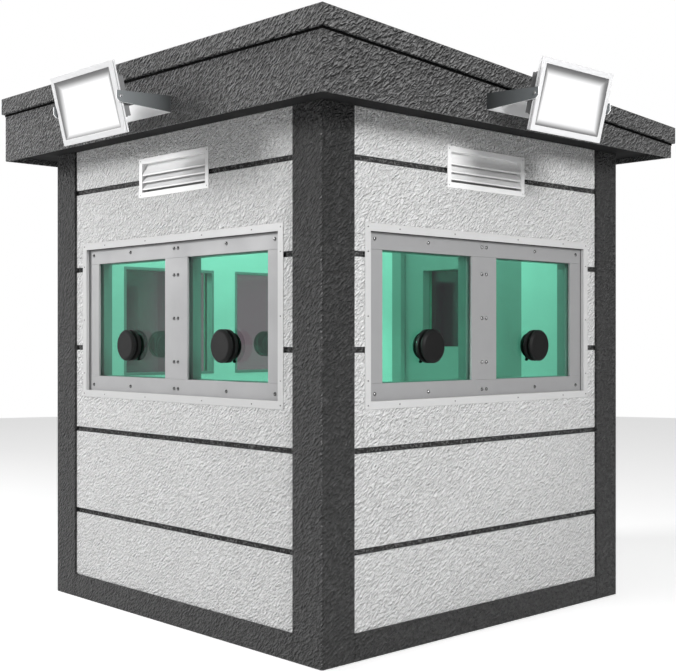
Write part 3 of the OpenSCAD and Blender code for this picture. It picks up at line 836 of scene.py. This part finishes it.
for side in WINDOW_SIDES:
    ports = bmesh.new()
    for middle in (-pane_mid, pane_mid):
        add_spun(ports, PORT_OUTLINE, Matrix.Translation((middle, glass_front, port_z)), 72)
        add_block(ports, (middle - LATCH_WIDTH / 2, latch_face, port_z + LATCH_END),
                  (middle + LATCH_WIDTH / 2, latch_face + LATCH_SHEET, port_z + LATCH_TOP),
                  0.002)
        grip = Matrix.Translation((middle, latch_face + LATCH_SHEET / 2,
                                   port_z + LATCH_END + 0.001))
        add_spun(ports, GRIP_OUTLINE, grip @ Matrix.Rotation(math.radians(-90), 4, "X"), 20)
    ports.transform(side_matrix(side))
    new_piece(f"{side}_ports", ports, [port_black],
              stands_for=[f"{side}_gun_ports"], smooth=True)
print(f"ports at {port_z:.3f} m")

# %% [markdown]
# ## Vents
# A vent is pressed from one sheet and screwed on at its corners. Its blades already slope in
# the CAD part, so drawing them again would gain nothing, and only rims and lips get rounded.
# A dull plate closes the box behind the blades.

# %% Vents
VENT_RIM, VENT_SCREW = 0.024, (3.0, 1.0)
vent_low, vent_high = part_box("front_vent")
vent_front, vent_back = depth_of("front_vent")

for side in WINDOW_SIDES:
    new_piece(f"{side}_vent_grille", softened_part(f"{side}_vent", 0.0008), [vent_paint],
              stands_for=[f"{side}_vent"])
    screen = bmesh.new()
    add_block(screen, (vent_low.x + VENT_RIM, vent_back - 0.0025, vent_low.z + VENT_RIM),
              (vent_high.x - VENT_RIM, vent_back - 0.0005, vent_high.z - VENT_RIM), 0.0004)
    for screw_u in (vent_low.x + VENT_RIM / 2, vent_high.x - VENT_RIM / 2):
        for screw_z in (vent_low.z + VENT_RIM / 2, vent_high.z - VENT_RIM / 2):
            add_screw(screen, screw_u, vent_front, screw_z, *VENT_SCREW)
    screen.transform(side_matrix(side))
    new_piece(f"{side}_vent_screen", screen, [screen_paint])
print(f"vents {vent_high.x - vent_low.x:.3f} m wide")

# %% [markdown]
# ## Door
# The door is at the back: a flush leaf in a frame with a stop, a window with a screwed
# bezel, a lever on a plate and three lift-off hinges. What rides on the leaf must turn with
# it. Joined to the booth it would stay behind, so those pieces hang on the door's own body.

# %% Door frame, leaf and window
new_piece("door_frame_cover", softened_part("door_frame", 0.002), [door_paint],
          stands_for=["door_frame"])
new_piece("door_leaf_cover", softened_part("door_leaf", 0.002), [door_paint], body="door",
          stands_for=["door_leaf"])
new_piece("door_pane", softened_part("door_glass", 0.001), [green_glass], body="door",
          stands_for=["door_glass"])

BEZEL_WIDTH, BEZEL_SCREW = 0.028, (4.0, 1.6)
bezel_low, bezel_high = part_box("door_window_bezel")
bezel_face = half_booth - bezel_high.y
bezel_u = bezel_high.x - BEZEL_WIDTH / 2
bezel_mid_z = (bezel_low.z + bezel_high.z) / 2
bezel_rise = bezel_high.z - bezel_mid_z - BEZEL_WIDTH / 2
bezel = softened_part("door_window_bezel", 0.0015)
bezel.transform(side_matrix("back").inverted())
for share, rises in ((1, (-1, 0, 1)), (1 / 3, (-1, 1))):
    for rise_share in rises:
        for screw_u in (-bezel_u * share, bezel_u * share):
            add_screw(bezel, screw_u, bezel_face, bezel_mid_z + rise_share * bezel_rise,
                      *BEZEL_SCREW, material=1)
bezel.transform(side_matrix("back"))
new_piece("door_bezel", bezel, [white_trim, rivet_metal], body="door",
          stands_for=["door_window_bezel"])
print(f"door bezel {bezel_high.x - bezel_low.x:.3f} m wide")

# %% [markdown]
# The lever is a round bar on a neck, beside a lock cylinder, on a plate with two screws. The
# CAD part is a plain stand-in for them. Bar, neck and cylinder are turned parts on the real
# handle too, so each is spun, and the bar is then laid across.

# %% Lever and lock
HANDLE_PLATE_WIDTH, HANDLE_PLATE_HEIGHT, HANDLE_PLATE_SHEET = 0.044, 0.230, 0.008
LEVER_OUT, LOCK_DROP = 0.052, 0.072
HANDLE_SCREW, HANDLE_SCREW_OFFSET = (4.0, 1.8), 0.103
NECK_OUTLINE = [(0, -62), (6, -62), (9, -60.5), (10, -58), (10, -14), (14, -11), (15, -8),
                (0, -8)]
BAR_OUTLINE = [(0, 0), (10, 0), (10, 112), (9.2, 118), (6.5, 123), (3, 124.8), (0, 125)]
LOCK_OUTLINE = [(0, -13), (7, -13), (8.5, -12), (8.5, -10.5), (12, -10), (13, -8), (0, -8)]
handle_low, handle_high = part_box("door_handle")
handle_z = (handle_low.z + handle_high.z) / 2
half_width, half_height = HANDLE_PLATE_WIDTH / 2, HANDLE_PLATE_HEIGHT / 2
# The plate is at the latch end of the handle, and the lever points to the hinges
handle_u = half_width - handle_high.x

handle = bmesh.new()
add_block(handle, (handle_u - half_width, -HANDLE_PLATE_SHEET, handle_z - half_height),
          (handle_u + half_width, 0, handle_z + half_height), 0.003, 3)
add_spun(handle, NECK_OUTLINE, Matrix.Translation((handle_u, 0, handle_z)), 32)
bar_place = (Matrix.Translation((handle_u, -LEVER_OUT, handle_z))
             @ Matrix.Rotation(math.radians(-90), 4, "Z"))
add_spun(handle, BAR_OUTLINE, bar_place, 32)
add_spun(handle, LOCK_OUTLINE, Matrix.Translation((handle_u, 0, handle_z - LOCK_DROP)), 32)
for offset in (-HANDLE_SCREW_OFFSET, HANDLE_SCREW_OFFSET):
    add_screw(handle, handle_u, -HANDLE_PLATE_SHEET, handle_z + offset, *HANDLE_SCREW)
handle.transform(side_matrix("back"))
new_piece("door_lever", handle, [steel], body="door",
          stands_for=["door_handle"], smooth=True)
print(f"lever at x {-handle_u:.3f} m, z {handle_z:.3f} m")

# %% [markdown]
# A lift-off hinge is a pin with a collar on the frame, and a knuckle on the leaf that drops
# over it. The two halves turn against each other, so they stay two pieces, one on each body.
# Both are right in the CAD model, and get a small round on their rims.

# %% Hinges
HINGE_ROUND = 0.0007
new_piece("hinge_pins", softened_part("door_hinge_pins", HINGE_ROUND), [steel],
          stands_for=["door_hinge_pins"])
new_piece("hinge_knuckles", softened_part("door_hinge_knuckles", HINGE_ROUND), [steel],
          body="door", stands_for=["door_hinge_knuckles"])

# %% [markdown]
# ## Roof
# The fascia and the cap are folded sheet under the charcoal coat. On top, a membrane lies a
# little below the cap's raised rim. A sheet of its own would have to be fitted to the slope,
# so the cap's top face is inset twice instead, the second time downwards.

# %% Fascia and cap
new_piece("roof_fascia_cover", softened_part("roof_fascia", FOLD), [roof_coat],
          stands_for=["roof_fascia"])

CAP_ROUND, CAP_RIM, RIM_SLOPE, MEMBRANE_DROP = 0.004, 0.055, 0.004, 0.007
cap = copied_part("roof_cap")
bevel_edges(cap, cap.edges, CAP_ROUND, 3)
top_face = max(cap.faces, key=lambda f: f.calc_area() * max(f.normal.z, 0))
bmesh.ops.inset_region(cap, faces=[top_face], thickness=CAP_RIM, depth=0)
bmesh.ops.inset_region(cap, faces=[top_face], thickness=RIM_SLOPE, depth=-MEMBRANE_DROP)
top_face.material_index = 1
new_piece("roof_cap_cover", cap, [roof_coat, roof_membrane],
          stands_for=["roof_cap"])

print(f"membrane {1000 * MEMBRANE_DROP:.0f} mm below the rim")

# %% [markdown]
# The dark line between fascia and cap is painted shadow: the shadow under the cap's edge is
# drawn as a black ring. A groove would be true to life, but light from the side would reach
# into it. So the joint is a thin ring laid round the fascia's upper edge, with a finish that
# mirrors nothing. It starts as one face on the fascia's outline, which slopes with the roof,
# and is inset, opened and pulled down.

# %% The painted shadow under the cap
JOINT_HEIGHT, JOINT_PROUD, JOINT_DROP = 0.010, 0.0015, 0.0002
fascia_points = [v.co.copy() for v in cad_nodes["roof_fascia"].data.vertices]
fascia_low, fascia_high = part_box("roof_fascia")
joint = bmesh.new()
outline = []
for x, y in ((fascia_low.x, fascia_low.y), (fascia_high.x, fascia_low.y),
             (fascia_high.x, fascia_high.y), (fascia_low.x, fascia_high.y)):
    top = max(p.z for p in fascia_points if abs(p.x - x) + abs(p.y - y) < 0.001)
    outline.append(joint.verts.new((x + math.copysign(JOINT_PROUD, x),
                                    y + math.copysign(JOINT_PROUD, y), top - JOINT_DROP)))
sheet = joint.faces.new(outline)
# A new face has no normal yet, and without one an inset doesn't know which way is inwards
joint.normal_update()
bmesh.ops.inset_region(joint, faces=[sheet], thickness=JOINT_PROUD, use_boundary=True,
                       use_even_offset=True)
bmesh.ops.delete(joint, geom=[sheet], context="FACES_ONLY")
lowered = bmesh.ops.extrude_face_region(joint, geom=joint.faces[:],
                                        use_keep_orig=True)["geom"]
bmesh.ops.translate(joint, vec=(0, 0, -JOINT_HEIGHT),
                    verts=[v for v in lowered if isinstance(v, bmesh.types.BMVert)])
print("roof joint:", len(joint.verts), "vertices")
new_piece("roof_joint", joint, [joint_painted_shadow])

# %% [markdown]
# ## Floodlights
# A lamp is a flat white case in a steel bracket. Drawn where it hangs, every part of it would
# need its own turn. So it is drawn upright about its pivot, then tilted down with one matrix,
# and rides on its own body so that it can tilt further.

# %% Sizes of a lamp
YOKE_SHEET, SWING_CLEAR = 0.006, 0.005
LAMP_HEIGHT, LAMP_RIM = 0.295, 0.024
LAMP_TILT = math.radians(14)
yoke_low, yoke_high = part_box("front_lamp_bracket")
yoke_mid_z = (yoke_low.z + yoke_high.z) / 2
yoke_width = yoke_high.x - yoke_low.x
lamp_width = yoke_width - 2 * (YOKE_SHEET + SWING_CLEAR)
pivots = {joint["child"]: Vector(joint["pos_m"])
          for joint in frame["record"]["behaviour"]["joints"]}


def lamp_matrix(side):
    """From a lamp drawn upright about its pivot, facing the front, to its place."""
    turn = Matrix.Rotation(math.radians(SIDE_TURN[side]), 4, "Z")
    return (Matrix.Translation(pivots[f"{side}_lamp"]) @ turn
            @ Matrix.Rotation(LAMP_TILT, 4, "X"))


print(f"lamps {lamp_width:.3f} m wide, tilted {math.degrees(LAMP_TILT):.0f} degrees")

# %% [markdown]
# The case is a front bezel and a rear rim with a dark gasket between them, a finned pan for
# the heat, and a pin on each side. As one block it would show no lines at its side, where
# the camera sees it. So bezel, gasket and rim are three rings, one behind the other.

# %% The case
# Depths behind the pivot: the bezel's face, the gasket's two sides, the rim's back, the
# plate that closes it, and the back of the fins
LAMP_FACE, GASKET_FRONT, GASKET_BACK, LAMP_BACK = -0.006, 0.004, 0.0062, 0.014
COVER_FRONT, CASE_BACK = 0.0112, 0.044
GASKET_INSET, COVER_INSET, CASE_INSET = 0.0025, 0.020, 0.008
CASE_HEIGHT, FINS, FIN_SHEET, FIN_DEPTH = 0.172, 15, 0.0032, 0.018


def add_lamp_case(bm):
    low = -LAMP_HEIGHT / 2
    add_ring(bm, lamp_width, LAMP_HEIGHT, LAMP_RIM, LAMP_FACE, GASKET_FRONT, low, 0.0016)
    add_ring(bm, lamp_width - 2 * GASKET_INSET, LAMP_HEIGHT - 2 * GASKET_INSET,
             LAMP_RIM - 0.004, GASKET_FRONT, GASKET_BACK, low + GASKET_INSET, material=1)
    add_ring(bm, lamp_width, LAMP_HEIGHT, LAMP_RIM + 0.001, GASKET_BACK, LAMP_BACK, low,
             0.0012)
    add_block(bm, (-lamp_width / 2 + COVER_INSET, COVER_FRONT, low + COVER_INSET),
              (lamp_width / 2 - COVER_INSET, LAMP_BACK - 0.0004, -low - COVER_INSET))


def add_finned_pan(bm):
    half_case = lamp_width / 2 - CASE_INSET
    add_block(bm, (-half_case, LAMP_BACK - 0.001, -CASE_HEIGHT / 2),
              (half_case, CASE_BACK - FIN_DEPTH + 0.002, CASE_HEIGHT / 2), 0.002, material=2)
    for i in range(FINS):
        middle = (i / (FINS - 1) - 0.5) * (2 * half_case - 0.004)
        add_block(bm, (middle - FIN_SHEET / 2, CASE_BACK - FIN_DEPTH, 0.004 - CASE_HEIGHT / 2),
                  (middle + FIN_SHEET / 2, CASE_BACK, CASE_HEIGHT / 2 - 0.004), 0.0008, 1,
                  material=2)


def add_pivot_pins(bm):
    """A pin with a round head on each side, spun in millimetres."""
    inner, outer = 1 - 500 * lamp_width, -500 * yoke_width
    pin = [(0, inner), (5, inner), (5, outer - 0.5), (7, outer - 0.5), (7, outer - 2.6),
           (5.6, outer - 4.0), (0, outer - 4.5)]
    for turn in (90, -90):
        add_spun(bm, pin, Matrix.Rotation(math.radians(turn), 4, "Z"), 24, material=3)


for side in WINDOW_SIDES:
    case = bmesh.new()
    add_lamp_case(case)
    add_finned_pan(case)
    add_pivot_pins(case)
    case.transform(lamp_matrix(side))
    new_piece(f"{side}_lamp_case", case, [lamp_white, gasket_and_shadow_black, lamp_grey, steel],
              body=f"{side}_lamp",
              stands_for=[f"{side}_lamp_housing"])
print(FINS, "fins to a case")

# %% [markdown]
# The reflector is a shallow tray. A picture of a lit lamp on a flat board would look the same
# from everywhere. A face that is inset again and again, a little deeper each time, gives
# real slopes, and its corners can carry the glow that the lamp's material reads.

# %% The reflector
REFLECTOR_FACE = -0.0045
# Each ring's inset and depth, and the glow at its upper and lower edge. The upper edges get
# less glow, as painted shade under the case's rim
REFLECTOR_RINGS = ((0.003, -0.001, 0.0, 0.14), (0.008, -0.003, 0.12, 0.42),
                   (0.012, -0.004, 0.42, 0.74), (0.016, -0.004, 0.8, 0.94),
                   (0.016, -0.002, 1.0, 1.0))


def add_reflector(bm):
    """A sloping tray whose vertices store how much glow they get."""
    glow = bm.verts.layers.float.new(GLOW)
    width, height = lamp_width - 2 * LAMP_RIM, LAMP_HEIGHT - 2 * LAMP_RIM
    upright = (Matrix.Translation((0, REFLECTOR_FACE, 0))
               @ Matrix.Rotation(math.radians(90), 4, "X")
               @ Matrix.Diagonal((width, height, 1, 1)))
    bmesh.ops.create_grid(bm, x_segments=1, y_segments=1, size=0.5, matrix=upright)
    bm.faces.ensure_lookup_table()
    board = bm.faces[0]
    for vert in board.verts:
        # The upper edge is dimmer: painted shade under the case's rim
        vert[glow] = 0.0 if vert.co.z > 0 else 0.1
    for thickness, depth, painted_shade_top_glow, low_glow in REFLECTOR_RINGS:
        bmesh.ops.inset_region(bm, faces=[board], thickness=thickness, depth=depth,
                               use_boundary=True, use_even_offset=True)
        for vert in board.verts:
            vert[glow] = painted_shade_top_glow if vert.co.z > 0 else low_glow


for side in WINDOW_SIDES:
    tray = bmesh.new()
    add_reflector(tray)
    tray.transform(lamp_matrix(side))
    new_piece(f"{side}_lamp_reflector", tray, [lamp_glow], body=f"{side}_lamp",
              stands_for=[f"{side}_lamp_lens"])
print(len(REFLECTOR_RINGS), "rings to a reflector")

# %% [markdown]
# The bracket is one strip bent into a U. Its back plate faces the light and looks white,
# while the arms' zinc sides mirror the dark surroundings. One finish can't be both at this
# distance, so the faces are told apart by where they look. Two bolts hold the plate.

# %% Brackets with their bolts
BOLT_OFFSET = 0.16
WASHER_OUTLINE = [(0, -2), (11, -2), (11.6, -1.4), (11.6, 0.4), (0, 0.4)]
HEAD_OUTLINE = [(0, -8), (7.4, -8), (8.6, -7), (8.6, -2), (0, -2)]
HEXAGON = 6

for side in WINDOW_SIDES:
    bracket = softened_part(f"{side}_lamp_bracket", 0.001)
    bracket.transform(side_matrix(side).inverted())
    bracket.normal_update()
    wall_face = max(v.co.y for v in bracket.verts)
    arms_start = wall_face - YOKE_SHEET - 0.001
    for face in bracket.faces:
        face.material_index = int(face.calc_center_median().y < arms_start
                                  and abs(face.normal.x) > 0.5)
    for bolt_u in (-BOLT_OFFSET, BOLT_OFFSET):
        bolt = Matrix.Translation((bolt_u, wall_face - YOKE_SHEET, yoke_mid_z))
        add_spun(bracket, WASHER_OUTLINE, bolt, 24, material=2)
        add_spun(bracket, HEAD_OUTLINE, bolt, HEXAGON, material=2)
    bracket.transform(side_matrix(side))
    new_piece(f"{side}_bracket", bracket, [bracket_plate, bracket_arm, steel],
              stands_for=[f"{side}_lamp_bracket"])
print(f"brackets {yoke_width:.3f} m wide")

# %% [markdown]
# ## Stage, light and camera
# The booth stands on a pale round floor. A square would do, but its corners could show at
# the edge of the view. The floor glows a little for the camera alone, so that it fades into
# the white sky without lighting the booth from below.

# %% The floor
FLOOR_RADIUS, FLOOR_GLOW = 14.0, 0.45
floor_bm = bmesh.new()
bmesh.ops.create_circle(floor_bm, cap_ends=True, segments=128, radius=FLOOR_RADIUS)
floor_mesh = bpy.data.meshes.new("floor")
floor_bm.to_mesh(floor_mesh)
floor_bm.free()
floor = bpy.data.objects.new("floor", floor_mesh)
bpy.context.scene.collection.objects.link(floor)
floor.location.z = -0.002
floor_white, floor_tree, floor_shader = new_material("floor_white", Roughness=0.9)
link(floor_tree, add_mix(floor_tree, add_noise(floor_tree, object_coords(floor_tree), 0.5),
                         grey(0.88), grey(0.9)), floor_shader.inputs["Base Color"])
floor_shader.inputs["Emission Color"].default_value = grey(1.0)
floor_rays = add_node(floor_tree, "ShaderNodeLightPath")
link(floor_tree, add_math(floor_tree, "MULTIPLY", floor_rays.outputs["Is Camera Ray"],
                          FLOOR_GLOW), floor_shader.inputs["Emission Strength"])
floor_mesh.materials.append(floor_white)
print(f"floor {2 * FLOOR_RADIUS:.0f} m across")

# %% [markdown]
# The camera sees a plain white sky. As a light it would wash the shadows out, so it lights
# the booth with a quarter of that, and what glossy plates mirror is a grey that gets dimmer
# towards the back right. Through two panes the eye looks right through the booth, where only
# a narrow patch of the surroundings is bright. That sky is reddish, which two green panes
# turn to grey. A picture of a studio could do all of this, but the nodes keep each of these
# skies apart, with its own strength.

# %% The sky
SKY_LIGHT = 0.24
MIRRORED_SKY, BRIGHT_DIRECTION = (0.32, 0.58), Vector((-0.78, -0.58, 0.25)).normalized()
# The patch seen through two panes: its direction, edge and middle, and its two colours
FAR_SKY_DIRECTION, FAR_SKY_PATCH = Vector((-0.772, 0.636, 0.0)), (0.9936, 0.9996)
FAR_SKY_DIM, FAR_SKY_BRIGHT = (0.22, 0.0, 0.02, 1.0), (3.0, 0.17, 0.4, 1.0)

world = bpy.data.worlds.new("studio")
bpy.context.scene.world = world
world.use_nodes = True
sky = world.node_tree
background = sky.nodes["Background"]
rays = add_node(sky, "ShaderNodeLightPath")
sky_direction = add_node(sky, "ShaderNodeTexCoord").outputs["Generated"]


def nearness(direction):
    """How nearly a ray goes in a direction: 1 along it, -1 against it."""
    toward = add_node(sky, "ShaderNodeVectorMath", operation="DOT_PRODUCT")
    link(sky, sky_direction, toward.inputs[0])
    toward.inputs[1].default_value = direction
    return toward.outputs["Value"]


mirrored_sky = add_range(sky, nearness(BRIGHT_DIRECTION), -1.0, 1.0, *MIRRORED_SKY)
sky_light = add_mix(sky, rays.outputs["Is Glossy Ray"], grey(SKY_LIGHT), mirrored_sky)
seen = add_mix(sky, rays.outputs["Is Camera Ray"], sky_light, grey(1.0))
through_two_panes = add_math(sky, "GREATER_THAN", rays.outputs["Transmission Depth"], 2.5)
far_share = add_range(sky, nearness(FAR_SKY_DIRECTION), *FAR_SKY_PATCH)
far_sky = add_mix(sky, far_share, FAR_SKY_DIM, FAR_SKY_BRIGHT)
link(sky, add_mix(sky, through_two_panes, seen, far_sky), background.inputs["Color"])
print("sky light", SKY_LIGHT)

# %% [markdown]
# A large lamp stands off the front to the left, and a weaker one off the right side. A sun
# would give hard shadows under the eaves, and an area lamp gives soft ones. Both are high
# enough that the panes mirror neither of them to the camera. A weak lamp under the ceiling
# stands in for the daylight that comes in through the back.

# %% Lamps of the studio
AIM_HEIGHT = 1.2


def studio_lamp(name, place, size, watts):
    data = bpy.data.lights.new(name, "AREA")
    data.shape, data.size, data.energy = "SQUARE", size, watts
    lamp = bpy.data.objects.new(name, data)
    bpy.context.scene.collection.objects.link(lamp)
    lamp.location = place
    aim = Vector((0, 0, AIM_HEIGHT)) - lamp.location
    lamp.rotation_euler = aim.to_track_quat("-Z", "Y").to_euler()
    return lamp


studio_lamp("studio_front", (-5.4, -6.8, 4.5), 2.4, 640)
studio_lamp("studio_side", (7.8, -2.0, 4.4), 2.4, 530)
room_lamp = studio_lamp("studio_room", (0, 0, soffit_z - 0.05), 1.4, 18)
room_lamp.visible_camera = room_lamp.visible_transmission = False
room_lamp.visible_glossy = False
print(len(bpy.data.lights), "lamps")

# %% [markdown]
# The camera stands off the corner between the front and the right side, at chest height.
# Tipped up to take in the roof, it would make the posts lean together. So it looks level, as
# an architect's camera does, and stands far enough back for base and roof.

# %% The camera
CAMERA_PLACE, VIEW_TURN = (4.3725, -4.0779, 1.2861), math.radians(46.664)
CAMERA_LENS, CAMERA_SHIFT = 63.09, (-0.0055, 0.002)

camera_data = bpy.data.cameras.new("camera")
camera_data.sensor_width = 36
camera_data.lens = CAMERA_LENS
camera_data.shift_x, camera_data.shift_y = CAMERA_SHIFT
camera = bpy.data.objects.new("camera", camera_data)
bpy.context.scene.collection.objects.link(camera)
camera.location = CAMERA_PLACE
camera.rotation_euler = (math.radians(90), 0, VIEW_TURN)
bpy.context.scene.camera = camera
bpy.context.scene.view_settings.view_transform = "Standard"
bpy.context.scene.view_settings.look = "None"
print(f"camera {Vector(CAMERA_PLACE).xy.length:.2f} m from the middle of the booth")
